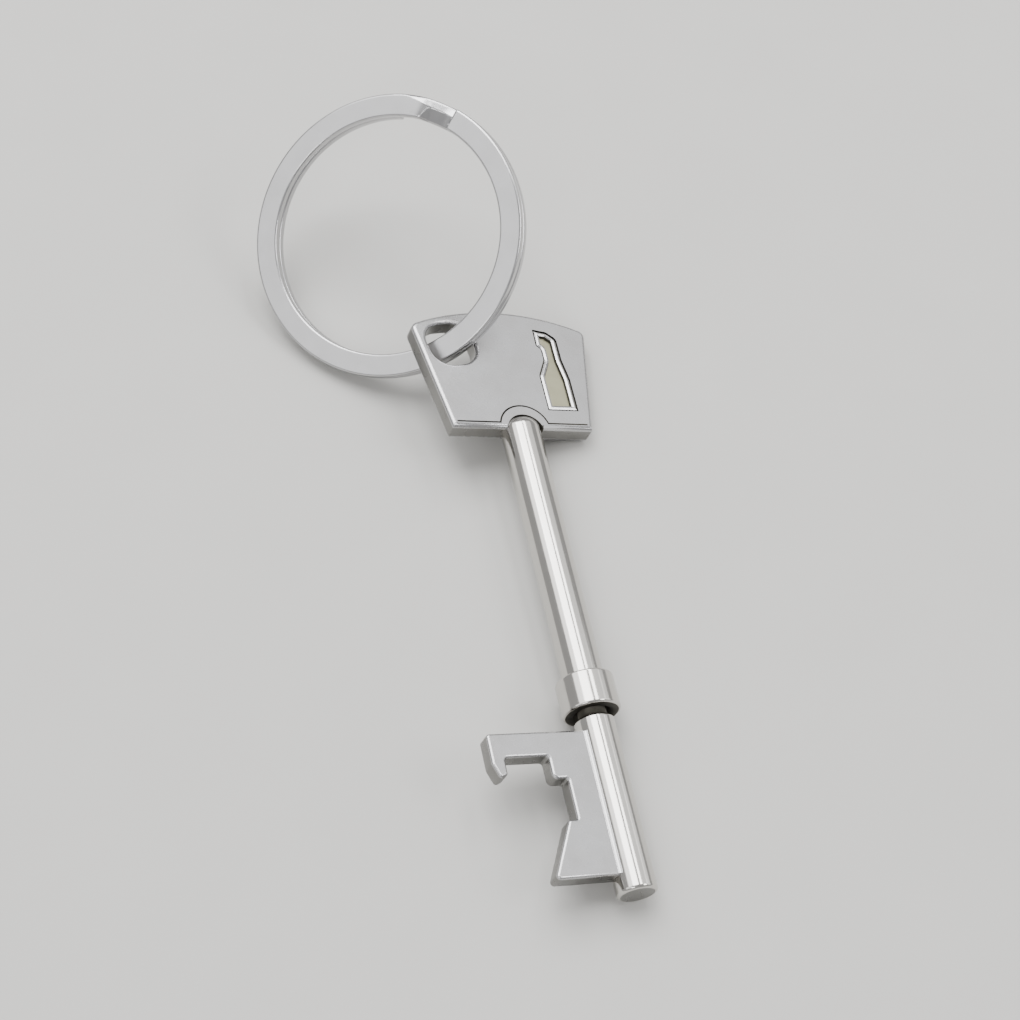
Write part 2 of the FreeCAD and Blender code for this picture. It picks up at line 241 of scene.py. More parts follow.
class Surface:
    """Collects grids and flat fills into one mesh object."""

    def __init__(self) -> None:
        """Starts empty."""
        self.points: list[np.ndarray] = []
        self.count = 0
        self.faces: list[list[int]] = []
        self.smooth: list[bool] = []
        self.coats: list[int] = []

    def add_grid(self, grid: np.ndarray, coat: Coat | np.ndarray = Coat.FACE,
                 smooth: bool = True) -> np.ndarray:
        """Adds a grid of quads whose last column joins the first.

        Their normals point along (second direction) x (first direction).

        Args:
            grid: (rows, columns, 3) points.
            coat: one coat, or a column with one for each band between two rows, or a table with
                one for each quad.
            smooth: whether the quads are shaded smooth.

        Returns:
            The numbers of the grid's points, as (rows, columns).
        """
        numbers = np.arange(self.count, self.count + grid[..., 0].size).reshape(grid.shape[:2])
        self.points.append(grid.reshape(-1, 3))
        self.count += numbers.size
        beside = np.roll(numbers, -1, axis=1)
        quads = np.stack([numbers[:-1], beside[:-1], beside[1:], numbers[1:]], axis=-1)
        coats = np.broadcast_to(coat, quads.shape[:2])
        self.faces.extend(quads.reshape(-1, 4).tolist())
        self.smooth.extend([smooth] * coats.size)
        self.coats.extend(coats.ravel().tolist())
        return numbers

    def add_turned(self, profile: np.ndarray, coat: Coat | np.ndarray = Coat.FACE,
                   columns: int = 160) -> np.ndarray:
        """Adds a profile turned round the shank's axis: x = r cos a, z = r sin a.

        Args:
            profile: (n, 2) rows of radius and station, with the stations falling.
            coat: one coat, or a column with one for each band of the profile.
            columns: number of steps round the axis.

        Returns:
            The numbers of the grid's points, as (n, columns).
        """
        angle = np.linspace(0.0, 2.0 * math.pi, columns, endpoint=False)
        radius = profile[:, 0][:, None]
        station = np.broadcast_to(profile[:, 1][:, None], (len(profile), columns))
        grid = np.stack([radius * np.cos(angle), station, radius * np.sin(angle)], axis=-1)
        return self.add_grid(grid, coat)

    def fill(self, loops: Sequence[np.ndarray], normal: Sequence[float], coat: Coat = Coat.FACE) -> None:
        """Fills the flat area between an outline and its holes.

        Args:
            loops: point numbers of the outline, then of each hole.
            normal: the direction that the filled face looks in.
            coat: the coat of the filled face.
        """
        points = np.vstack(self.points)
        numbers = np.concatenate(loops)
        polygons = [[Vector(points[number]) for number in loop] for loop in loops]
        triangles = numbers[np.array(tessellate_polygon(polygons))]
        corner = points[triangles]
        facing = np.cross(corner[:, 1] - corner[:, 0], corner[:, 2] - corner[:, 0]) @ np.asarray(normal)
        triangles[facing < 0.0] = triangles[facing < 0.0][:, ::-1]
        self.faces.extend(triangles.tolist())
        self.smooth.extend([False] * len(triangles))
        self.coats.extend([int(coat)] * len(triangles))

    def build(self, name: str, place: Place,
              finishes: Mapping[Coat, bpy.types.Material]) -> bpy.types.Object:
        """Turns what was collected into an object whose place is in its mesh.

        Args:
            name: the object's name.
            place: where the shape's own frame lies.
            finishes: the material of each coat that the piece has.

        Returns:
            The new object.
        """
        index = np.zeros(len(Coat), dtype=int)
        index[list(finishes)] = np.arange(len(finishes))
        mesh = bpy.data.meshes.new(name)
        mesh.from_pydata(place.put(np.vstack(self.points)).tolist(), [], self.faces)
        mesh.polygons.foreach_set("use_smooth", self.smooth)
        mesh.polygons.foreach_set("material_index", index[self.coats].tolist())
        for material in finishes.values():
            mesh.materials.append(material)
        shell = bmesh.new()
        shell.from_mesh(mesh)
        bmesh.ops.remove_doubles(shell, verts=shell.verts, dist=MERGE_DISTANCE)
        shell.to_mesh(mesh)
        shell.free()
        mesh.update()
        return add_object(name, mesh)


# ---- Finishes -------------------------------------------------------------------------------

MIX_FACTOR, MIX_FIRST, MIX_SECOND, MIX_RESULT = 0, 6, 7, 2  # a colour Mix node's sockets, by number
NOISE_LOW, NOISE_HIGH = 0.3, 0.7                            # where nearly all of a noise's values lie
RUBS_PER_CLOUD = 3.0                                        # rubbing marks across one cloud of colour


def linear(code: str) -> tuple[float, float, float, float]:
    """Turns an sRGB hex code to linear colour: c / 12.92 below 0.04045, else a power of 2.4.

    Args:
        code: the colour as #RRGGBB.

    Returns:
        Red, green, blue and full alpha.
    """
    values = np.array([int(code[i:i + 2], 16) for i in (1, 3, 5)]) / 255.0
    low = values / 12.92
    high = ((values + 0.055) / 1.055) ** 2.4
    red, green, blue = np.where(values <= 0.04045, low, high)
    return float(red), float(green), float(blue), 1.0


def per_metre(size_mm: float) -> float:
    """Texture scale that makes one cell of a pattern the given size."""
    return 1.0 / (size_mm * MM)


def add_node(tree: bpy.types.NodeTree, kind: str, settings: dict | None = None,
             links: dict | None = None) -> bpy.types.Node:
    """Adds a node, sets its properties and sockets, and links outputs into it.

    Args:
        tree: the node tree.
        kind: the node's type name.
        settings: property names, or socket names or numbers, with their values.
        links: input socket name or number with the output socket that feeds it.

    Returns:
        The new node.
    """
    node = tree.nodes.new(kind)
    for name, value in (settings or {}).items():
        if isinstance(name, str) and hasattr(node, name):
            setattr(node, name, value)
        else:
            node.inputs[name].default_value = value
    for name, output in (links or {}).items():
        tree.links.new(output, node.inputs[name])
    return node


def start_material(name: str) -> tuple[bpy.types.Material, bpy.types.Node, bpy.types.NodeSocket]:
    """Starts a material that has nodes.

    Args:
        name: the material's name.

    Returns:
        The material, its shader, and the socket that gives the place on the piece in metres.
    """
    material = bpy.data.materials.new(name)
    material.use_nodes = True
    shader = material.node_tree.nodes["Principled BSDF"]
    where = add_node(material.node_tree, "ShaderNodeTexCoord").outputs["Object"]
    return material, shader, where


@dataclass(frozen=True)
class NickelPlate:
    """Electroplated nickel: a cool grey metal whose polish depends on the tumbling and buffing.

    Fine pits and rubbing marks spread the reflections a little, so that flats look soft grey while
    the polished rounds still show crisp streaks. Real pits are a few hundredths of a millimetre
    across, too fine to show, so the grain is drawn several times as coarse.
    """

    name: str
    colour: str
    shade: str
    roughness: float
    roughness_swing: float
    grain_mm: float
    grain_depth_mm: float
    rub_mm: float

    def make(self) -> bpy.types.Material:
        """Builds the material: clouded colour, roughness that rubbing varies, and a grain.

        Returns:
            The new material.
        """
        material, shader, where = start_material(self.name)
        tree = material.node_tree
        shader.inputs["Metallic"].default_value = 1.0
        patterns = ((self.rub_mm, 4.0), (self.rub_mm / RUBS_PER_CLOUD, 3.0), (self.grain_mm, 3.0))
        cloud, rubbed, grain = [
            add_node(tree, "ShaderNodeTexNoise", {"Scale": per_metre(size), "Detail": detail},
                     {"Vector": where})
            for size, detail in patterns]
        tint = add_node(
            tree, "ShaderNodeMix",
            {"data_type": "RGBA", MIX_FIRST: linear(self.shade), MIX_SECOND: linear(self.colour)},
            {MIX_FACTOR: cloud.outputs["Fac"]})
        rough = add_node(
            tree, "ShaderNodeMapRange",
            {"From Min": NOISE_LOW, "From Max": NOISE_HIGH,
             "To Min": self.roughness - self.roughness_swing,
             "To Max": self.roughness + self.roughness_swing},
            {"Value": rubbed.outputs["Fac"]})
        bump = add_node(
            tree, "ShaderNodeBump",
            {"Strength": 1.0, "Distance": self.grain_depth_mm * MM},
            {"Height": grain.outputs["Fac"]})
        tree.links.new(tint.outputs[MIX_RESULT], shader.inputs["Base Color"])
        tree.links.new(rough.outputs["Result"], shader.inputs["Roughness"])
        tree.links.new(bump.outputs["Normal"], shader.inputs["Normal"])
        return material


# Plated over a zinc casting that was tumbled in fine grit. The grit leaves an even satin, so the
# flat faces show a soft grey sheen and no sharp reflections.
SATIN_NICKEL = NickelPlate(
    name="satin_nickel_plate", colour="#C3C4C6", shade="#B0AEAD", roughness=0.27, roughness_swing=0.02,
    grain_mm=0.16, grain_depth_mm=0.0007, rub_mm=3.0)

# Plated and then buffed on a wheel. Lamps show as crisp, bright streaks along the round parts.
BRIGHT_NICKEL = NickelPlate(
    name="bright_nickel_plate", colour="#CFCDC9", shade="#C4C1BC", roughness=0.135, roughness_swing=0.02,
    grain_mm=0.3, grain_depth_mm=0.0003, rub_mm=4.0)

# Rolled wire, plated and then tumbled among other rings. Its streaks are softer than the rod's, and
# its grey is a little cooler.
RING_NICKEL = NickelPlate(
    name="tumbled_nickel_wire", colour="#C6C6C7", shade="#B8B7B8", roughness=0.24, roughness_swing=0.02,
    grain_mm=0.18, grain_depth_mm=0.0007, rub_mm=2.5)

# Floor of the sunk emblem, where no wheel reaches. It stays matt and grainy, with a warm, slightly
# yellow grey.
RECESS_NICKEL = NickelPlate(
    name="matt_nickel_recess", colour="#B4B298", shade="#A19E86", roughness=0.34, roughness_swing=0.04,
    grain_mm=0.2, grain_depth_mm=0.002, rub_mm=1.5)

# Walls of the plates and the barrel's end face. Their darker grey than the faces is painted shade
# that stands in for the dark reflections these walls catch, and it makes the plates' edges read.
SIDE_PAINTED_SHADE = NickelPlate(
    name="painted_shade_side", colour="#8E8D8B", shade="#7E7D7A", roughness=0.3, roughness_swing=0.04,
    grain_mm=0.25, grain_depth_mm=0.0012, rub_mm=2.0)

# Painted shade for the creases, the seam, the notch's walls, the groove and the collar's lower face: a
# dull brown-black line with hardly any shine.
CREASE_PAINTED_SHADE = NickelPlate(
    name="painted_shade_crease", colour="#5A5852", shade="#43413B", roughness=0.5, roughness_swing=0.05,
    grain_mm=0.2, grain_depth_mm=0.002, rub_mm=1.0)


@dataclass(frozen=True)
class PaleBoard:
    """Matt paint rolled on board: an even pale grey with a faint mottle and no shine of its own."""

    name: str = "pale_board"
    colour: str = "#BFBEBB"
    shade: str = "#BAB9B6"
    roughness: float = 0.7
    mottle_mm: float = 12.0

    def make(self) -> bpy.types.Material:
        """Builds the material: clouded colour on an even roughness.

        Returns:
            The new material.
        """
        material, shader, where = start_material(self.name)
        tree = material.node_tree
        shader.inputs["Roughness"].default_value = self.roughness
        cloud = add_node(tree, "ShaderNodeTexNoise", {"Scale": per_metre(self.mottle_mm), "Detail": 3.0},
                         {"Vector": where})
        tint = add_node(
            tree, "ShaderNodeMix",
            {"data_type": "RGBA", MIX_FIRST: linear(self.shade), MIX_SECOND: linear(self.colour)},
            {MIX_FACTOR: cloud.outputs["Fac"]})
        tree.links.new(tint.outputs[MIX_RESULT], shader.inputs["Base Color"])
        return material


@dataclass
class Finishes:
    """The materials of the object, made once."""

    satin: bpy.types.Material = field(default_factory=SATIN_NICKEL.make)
    bright: bpy.types.Material = field(default_factory=BRIGHT_NICKEL.make)
    ring: bpy.types.Material = field(default_factory=RING_NICKEL.make)
    recess: bpy.types.Material = field(default_factory=RECESS_NICKEL.make)
    # painted shade on the plates' walls and the barrel's end face
    side: bpy.types.Material = field(default_factory=SIDE_PAINTED_SHADE.make)
    # painted shade in the creases, the seam, the notch, the groove and under the collar
    crease: bpy.types.Material = field(default_factory=CREASE_PAINTED_SHADE.make)


# ---- The key --------------------------------------------------------------------------------
# Its own frame is in millimetres: +Y runs up the shank's axis from the bow's foot, +Z out of the
# face, and the blade stands out towards -X.


@dataclass
class Bow:
    """Flat head of the key, with the ring's hole, the sunk bottle emblem and the seam."""

    thickness: float = 2.2
    foot_width: float = 15.6
    foot_radius: float = 0.12
    head_width: float = 20.0
    side_height: float = 12.8
    arch_rise: float = 2.1
    arch_share: float = 0.84
    arch_points: int = 41
    corner_radius: float = 0.9
    bevel: float = 0.4
    hole_width: float = 5.106
    hole_height: float = 5.264
    hole_corner_share: float = 0.82
    hole_centre: tuple[float, float] = (-5.942, 10.448)
    hole_bevel: float = 0.38
    seam_offset: float = 0.55
    seam_width: float = 0.17
    seam_depth: float = 0.34
    seam_radius: float = 2.66
    seam_end_gap: float = 0.1
    seam_lip: float = 0.03
    seam_opening: float = 0.01
    notch_radius: float = 1.98
    notch_shift: float = 0.14
    notch_drop: float = 0.36
    notch_lip: float = 0.12
    notch_bevel_share: float = 0.14
    bottle_depth: float = 0.34
    bead_width: float = 0.44
    bead_rise: float = 0.04
    bead_lean: float = 27.0
    bead_blunt: float = 0.02
    bead_points: int = 13
    crease_width: float = 0.19
    crease_depth: float = 0.2
    crease_wall: float = 0.02
    floor_crease: float = 0.09
    flat_strip: float = 0.03

    def outline(self) -> tuple[np.ndarray, np.ndarray]:
        """Works out the plate's outline.

        The foot is straight but for the notch that the shank sits in, a half circle whose bevel is
        thin. The sides slope, and the top is an arc of radius (w^2 + h^2) / 2h for half width w and
        rise h.

        Returns:
            (n, 2) points, anticlockwise, and an (n, 1) column with each point's share of the bevel.
        """
        half_foot = self.foot_width / 2.0
        half_head = self.head_width / 2.0
        radius = (half_head ** 2 + self.arch_rise ** 2) / (2.0 * self.arch_rise)
        across = np.linspace(self.arch_share, -self.arch_share, self.arch_points) * half_head
        along = self.side_height + self.arch_rise - radius + np.sqrt(radius ** 2 - across ** 2)
        arch = np.stack([across, along, np.zeros_like(across)], axis=1)
        reach = math.sqrt(self.notch_radius ** 2 - self.notch_drop ** 2)
        start = math.asin(self.notch_drop / self.notch_radius)
        turn = np.linspace(math.pi - start, start, ARC_POINTS)
        notch = np.stack([self.notch_shift + self.notch_radius * np.cos(turn),
                          self.notch_radius * np.sin(turn) - self.notch_drop,
                          np.zeros_like(turn)], axis=1)
        loop = round_corners([
            (-half_foot, 0.0, self.foot_radius),
            (self.notch_shift - reach - self.notch_lip, 0.0, 0.0),
            *notch,
            (self.notch_shift + reach + self.notch_lip, 0.0, 0.0),
            (half_foot, 0.0, self.foot_radius),
            (half_head, self.side_height, self.corner_radius),
            *arch,
            (-half_head, self.side_height, self.corner_radius),
        ])
        middle = np.hypot(loop[:, 0] - self.notch_shift, loop[:, 1] + self.notch_drop)
        share = np.where(middle < self.notch_radius + ON_ARC, self.notch_bevel_share, 1.0)
        return loop, share[:, None]

    def hole(self) -> np.ndarray:
        """Works out the rounded hole, which leans with the bow's side.

        Returns:
            (n, 2) points, clockwise.
        """
        half_w = self.hole_width / 2.0
        half_h = self.hole_height / 2.0
        radius = self.hole_corner_share * half_w
        loop = round_corners([
            (-half_w, -half_h, radius),
            (-half_w, half_h, radius),
            (half_w, half_h, radius),
            (half_w, -half_h, radius),
        ], steps=18)
        lean = math.atan2(self.head_width - self.foot_width, 2.0 * self.side_height)
        turn = np.array([[math.cos(lean), math.sin(lean)], [-math.sin(lean), math.cos(lean)]])
        return loop @ turn + np.array(self.hole_centre)

    def seam(self) -> np.ndarray:
        """Works out the thin seam along the foot and over the socket in an arc.

        Returns:
            (n, 2) points, clockwise.
        """
        upper = self._seam_side(self.seam_width)
        lower = self._seam_side(0.0)
        return np.vstack([upper, lower[::-1]])

    def _seam_side(self, shift: float) -> np.ndarray:
        """Works out one side of the seam: straight, an arc round the socket, straight.

        Args:
            shift: distance above the seam's lower side.

        Returns:
            (n, 2) points from left to right.
        """
        reach = self.foot_width / 2.0 - self.bevel - self.seam_end_gap
        offset = self.seam_offset + shift
        radius = self.seam_radius + shift
        start = math.asin(offset / radius)
        turn = np.linspace(math.pi - start, start, ARC_POINTS)
        arc = np.stack([self.notch_shift + radius * np.cos(turn), radius * np.sin(turn)], axis=1)
        return np.vstack([[-reach, offset], arc, [reach, offset]])

    def seam_profile(self) -> np.ndarray:
        """Works out the seam's wall: steep from its floor, then a lip that opens onto the face.

        Returns:
            (3, 2) rows of inset and height.
        """
        half = self.thickness / 2.0
        top, lip = self.seam_opening, self.seam_lip
        return np.array([[top - 2.0 * lip, half - self.seam_depth], [top - lip, half - lip], [top, half]])

    def bottle(self) -> np.ndarray:
        """Works out a plain bottle with its neck bent to one side.

        Returns:
            (n, 2) points, clockwise.
        """
        return round_corners([
            (3.2, 2.3, 0.0),
            (3.2, 6.8, 1.0),
            (4.17, 8.8, 0.8),
            (4.17, 10.2, 0.5),
            (3.7, 10.6, 0.0),
            (3.75, 12.75, 0.0),
            (5.3, 12.5, 0.9),
            (6.32, 11.65, 0.9),
            (6.32, 8.9, 1.5),
            (6.7, 6.4, 1.5),
            (6.7, 2.3, 0.0),
        ])

    def bead_profile(self) -> tuple[np.ndarray, np.ndarray]:
        """Works out the profile from the bottle's floor to the bow's face.

        The bead between its two creases, which are painted shade, is a hyperbola whose arms lean by an
        angle q: at the distance d from the crest it has sunk by sqrt((d tan q)^2 + s^2) - s, with a small
        s.

        Returns:
            (n, 2) rows of inset and height, and a column with the coat of each band.
        """
        half = self.thickness / 2.0
        wall = self.crease_wall
        outer = -self.crease_width
        inner = outer - self.bead_width
        floor = half - self.bottle_depth
        foot = half - self.crease_depth
        distance = np.linspace(-0.5, 0.5, self.bead_points) * self.bead_width
        arm = distance * math.tan(math.radians(self.bead_lean))
        sink = np.sqrt(arm ** 2 + self.bead_blunt ** 2) - self.bead_blunt
        bead = np.stack([outer - self.bead_width / 2.0 + distance, half + self.bead_rise - sink], axis=1)
        before = np.array([
            [inner - wall - self.floor_crease - self.flat_strip, floor],
            [inner - wall - self.floor_crease, floor],
            [inner - wall, floor],
        ])
        after = np.array([
            [outer + wall / 2.0, foot],
            [-1.5 * wall, foot],
            [-wall / 2.0, half],
            [self.flat_strip, half],
        ])
        # The creases beside the bead are painted shade.
        coats = [Coat.RECESS, Coat.CREASE, Coat.CREASE, *[Coat.FACE] * (len(bead) - 1),
                 Coat.CREASE, Coat.CREASE, Coat.CREASE, Coat.FACE]
        return np.vstack([before, bead, after]), np.array(coats)[:, None]

    def build(self, place: Place, finishes: Finishes) -> bpy.types.Object:
        """Builds the plate: its walls, hole, bead and seam are carried profiles, its faces fills.

        Args:
            place: where the key's own frame lies.
            finishes: the object's materials.

        Returns:
            The plate.
        """
        half = self.thickness / 2.0
        surface = Surface()
        loop, share = self.outline()
        edge = edge_profile(half, self.bevel)
        in_notch = share[:, 0] < 1.0
        # The notch's walls are painted shade in the crease colour, and the plate's walls a painted darker
        # grey.
        coats = np.where(in_notch, Coat.CREASE, wall_coats(edge))
        outer = surface.add_grid(carry(loop, edge, share), coats)
        edge = edge_profile(half, self.hole_bevel)
        hole = surface.add_grid(carry(self.hole(), edge), wall_coats(edge))
        bead, coats = self.bead_profile()
        bottle = surface.add_grid(carry(self.bottle(), bead), coats, smooth=False)
        # The seam's walls and floor are painted shade.
        seam = surface.add_grid(carry(self.seam(), self.seam_profile()), Coat.CREASE)
        surface.fill([outer[-1], hole[-1], bottle[-1], seam[-1]], UP)
        surface.fill([outer[0], hole[0]], DOWN)
        surface.fill([bottle[0]], UP, Coat.RECESS)
        surface.fill([seam[0]], UP, Coat.CREASE)
        return surface.build("bow", place, {
            Coat.FACE: finishes.satin,
            Coat.RECESS: finishes.recess,
            Coat.SIDE: finishes.side,
            Coat.CREASE: finishes.crease,
        })


@dataclass
class Shank:
    """Round rod from the bow to the barrel, with the collar and the groove under it."""

    diameter: float = 4.1
    length: float = 28.4
    socket_depth: float = 1.43
    end_round: float = 1.38
    end_flat: float = 0.3
    seat_length: float = 0.5
    seat_taper: float = 0.1
    seat_round: float = 0.03
    collar_diameter: float = 5.7
    collar_length: float = 3.55
    collar_round: float = 0.24
    collar_overlap: float = 0.19
    groove_length: float = 0.65
    groove_diameter: float = 2.8
    groove_rim: float = 0.1
    tenon_length: float = 0.3

    def build_rod(self, place: Place, finishes: Finishes) -> bpy.types.Object:
        """Builds the turned rod: socket end, shank, the collar's seat, the groove and a tenon.

        Args:
            place: where the key's own frame lies.
            finishes: the object's materials.

        Returns:
            The rod.
        """
        radius = self.diameter / 2.0
        groove = self.groove_diameter / 2.0
        seat = -self.length - self.seat_length
        profile = round_corners([
            (radius - self.end_round - self.end_flat, self.socket_depth, 0.0),
            (radius, self.socket_depth, self.end_round),
            (radius, seat, self.seat_round),
            (groove, seat - self.seat_taper, self.seat_round),
            (groove, -self.length - self.collar_length - self.groove_length - self.tenon_length, 0.0),
        ], closed=False, steps=16)
        # The groove is painted shade.
        in_groove = (profile[:-1, 0] < radius - self.groove_rim) & (profile[:-1, 1] < -self.length)
        surface = Surface()
        rows = surface.add_turned(profile, np.where(in_groove, Coat.CREASE, Coat.FACE)[:, None])
        surface.fill([rows[0]], TO_BOW)
        surface.fill([rows[-1]], TO_FOOT)
        return surface.build("shank", place, {Coat.FACE: finishes.bright, Coat.CREASE: finishes.crease})

    def build_collar(self, place: Place, finishes: Finishes) -> bpy.types.Object:
        """Builds the collar: a closed band with rounded rims, whose bore lies inside the rod.

        Args:
            place: where the key's own frame lies.
            finishes: the object's materials.

        Returns:
            The collar.
        """
        outer = self.collar_diameter / 2.0
        bore = self.diameter / 2.0 - self.collar_overlap
        top = -self.length
        foot = top - self.collar_length
        rim = self.collar_round
        profile = round_corners([
            (bore, top, 0.0),
            (outer, top, rim),
            (outer, foot, rim),
            (bore, foot, 0.0),
            (bore, top, 0.0),
        ], closed=False, steps=7)
        middle = (profile[:-1] + profile[1:]) / 2.0
        # The collar's lower face is painted shade.
        under = (middle[:, 0] < outer - rim) & (middle[:, 1] < top - rim)
        surface = Surface()
        surface.add_turned(profile, np.where(under, Coat.CREASE, Coat.FACE)[:, None])
        return surface.build("shank_collar", place,
                             {Coat.FACE: finishes.bright, Coat.CREASE: finishes.crease})


@dataclass
class Bit:
    """Barrel and the blade that stands out from it."""

    barrel_diameter: float = 3.9
    barrel_top: float = -32.6
    barrel_length: float = 17.35
    barrel_round: float = 0.32
    end_flat: float = 0.3
    blade_thickness: float = 2.0
    blade_bevel: float = 0.26
    top_gap: float = 1.35
    reach: float = 9.75
    hook_width: float = 1.35
    hook_shoulder: float = 3.0
    hook_length: float = 4.45
    hook_tip_share: float = 0.4
    hook_tip_slope: float = 0.35
    jaw_depth: float = 2.45
    jaw_width: float = 4.35
    lip_width: float = 1.45
    lip_drop: float = 2.3
    nib_drop: float = 4.05
    nib_length: float = 0.9
    foot_drop: float = 5.55
    foot_reach: float = 3.55
    fillet: float = 0.5
    fillet_points: int = 9
    fillet_in_barrel: float = 0.2
    fillet_in_blade: float = 0.05
    fillet_lead: float = 0.03

    def foot(self) -> float:
        """Station of the barrel's free end."""
        return self.barrel_top - self.barrel_length

    def blade_length(self) -> float:
        """Length of the blade along the barrel."""
        return self.jaw_depth + self.lip_drop + self.nib_drop + self.foot_drop

    def build_barrel(self, place: Place, finishes: Finishes) -> bpy.types.Object:
        """Builds the turned barrel, with rounded rims and a flat end.

        Args:
            place: where the key's own frame lies.
            finishes: the object's materials.

        Returns:
            The barrel.
        """
        radius = self.barrel_diameter / 2.0
        foot = self.foot()
        rim = self.barrel_round
        profile = round_corners([
            (radius - rim - self.end_flat, self.barrel_top, 0.0),
            (radius, self.barrel_top, rim),
            (radius, foot, rim),
            (radius - rim - self.end_flat, foot, 0.0),
        ], closed=False, steps=6)
        # The end face is painted shade, a darker grey like the plates' walls.
        on_end = profile[:-1, 1] < foot + ON_PLANE
        surface = Surface()
        rows = surface.add_turned(profile, np.where(on_end, Coat.SIDE, Coat.FACE)[:, None])
        surface.fill([rows[0]], TO_BOW)
        surface.fill([rows[-1]], TO_FOOT, Coat.SIDE)
        return surface.build("barrel", place, {Coat.FACE: finishes.bright, Coat.SIDE: finishes.side})

    def outline(self) -> np.ndarray:
        """Works out the blade's outline: root, top edge, hook, jaw, lip, nib and sloping foot.

        Returns:
            (n, 2) points, anticlockwise.
        """
        top = self.barrel_top - self.top_gap
        tip = -(self.barrel_diameter / 2.0 + self.reach)
        ceiling = top - self.jaw_depth
        hook_inner = tip + self.hook_width
        hook_foot = top - self.hook_length
        jaw_inner = hook_inner + self.jaw_width
        lip_foot = ceiling - self.lip_drop
        recess = jaw_inner + self.lip_width
        nib_y = lip_foot - self.nib_drop
        foot_y = nib_y - self.foot_drop
        root = -self.barrel_diameter / 4.0
        return round_corners([
            (root, foot_y, 0.0),
            (root, top, 0.0),
            (tip, top, 0.35),
            (tip, top - self.hook_shoulder, 0.5),
            (tip + self.hook_tip_share * self.hook_width, hook_foot, 0.3),
            (hook_inner, hook_foot + self.hook_tip_slope, 0.3),
            (hook_inner, ceiling, 0.3),
            (jaw_inner, ceiling, 0.3),
            (jaw_inner, lip_foot, 0.55),
            (recess, lip_foot, 0.25),
            (recess, nib_y, 0.2),
            (recess - self.nib_length, nib_y, 0.3),
            (recess - self.foot_reach, foot_y, 0.35),
        ], steps=7)

    def build_blade(self, place: Place, finishes: Finishes) -> bpy.types.Object:
        """Builds the blade: a bevelled plate whose root runs into the barrel.

        Args:
            place: where the key's own frame lies.
            finishes: the object's materials.

        Returns:
            The blade.
        """
        surface = Surface()
        edge = edge_profile(self.blade_thickness / 2.0, self.blade_bevel, steps=6)
        # The blade's walls are painted shade, a darker grey than its faces.
        rows = surface.add_grid(carry(self.outline(), edge), wall_coats(edge))
        surface.fill([rows[-1]], UP)
        surface.fill([rows[0]], DOWN)
        self._add_fillet(surface, 1.0)
        self._add_fillet(surface, -1.0)
        return surface.build("blade", place, {Coat.FACE: finishes.satin, Coat.SIDE: finishes.side})

    def _add_fillet(self, surface: Surface, side: float) -> None:
        """Adds the fillet between one face of the blade and the barrel.

        Its hollow is an arc of radius f that touches the face z = h and the barrel's circle of
        radius R, so its centre is at z = h + f and x = -sqrt((R + f)^2 - (h + f)^2). Two more
        points close it inside the blade and the barrel.

        Args:
            surface: where it goes.
            side: 1 for the upper face, -1 for the lower one.
        """
        half = self.blade_thickness / 2.0
        barrel = self.barrel_diameter / 2.0
        rise = half + self.fillet
        middle = -math.sqrt((barrel + self.fillet) ** 2 - rise ** 2)
        turn = np.linspace(-math.pi / 2.0, math.atan2(-rise, -middle), self.fillet_points)
        across = middle + self.fillet * np.cos(turn)
        height = rise + self.fillet * np.sin(turn)
        sunk = half - self.fillet_in_blade
        hidden = [across[-1] + self.fillet_in_barrel, across[0] + self.fillet_in_barrel / 2.0]
        across = np.concatenate([across, hidden])
        height = np.concatenate([height, [sunk, sunk]])
        if side > 0.0:
            across, height = across[::-1], height[::-1]
        top = self.barrel_top - self.top_gap - self.blade_bevel / 2.0
        foot = top + self.blade_bevel - self.blade_length()
        stations = (foot, foot + self.fillet_lead, top - self.fillet_lead, top)
        rows = [np.stack([across, np.full_like(across, y), side * height], axis=1) for y in stations]
        numbers = surface.add_grid(np.array(rows))
        surface.fill([numbers[0]], TO_FOOT)
        surface.fill([numbers[-1]], TO_BOW)


# ---- The ring -------------------------------------------------------------------------------
# Its own frame is in millimetres, with +Z along its axis.


